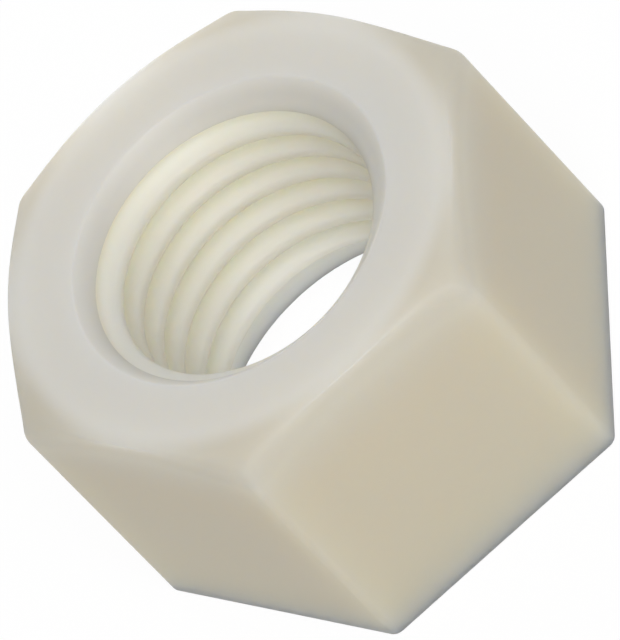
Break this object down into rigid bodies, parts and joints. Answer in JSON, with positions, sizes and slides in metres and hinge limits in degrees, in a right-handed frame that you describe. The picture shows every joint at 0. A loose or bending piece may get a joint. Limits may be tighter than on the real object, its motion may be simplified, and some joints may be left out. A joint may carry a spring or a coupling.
{
  "type": "nylon hex nut",
  "caption": "Natural nylon hexagon nut, chamfered on one face, with a coarse metric through thread that screws onto a bolt or stud.",
  "frame": {"origin": "middle of the plain face, on the thread's axis, where the nut stands", "axes": "+Z along the thread's axis from the plain face to the chamfered face; +X through a corner of the hexagon; flats face +Y and -Y"},
  "size_m": [0.0276, 0.024, 0.016],
  "materials": {
    "nylon": "natural milky white, satin, slightly translucent"
  },
  "bodies": {
    "root": {"nut": "nylon"}
  },
  "joints": []
}
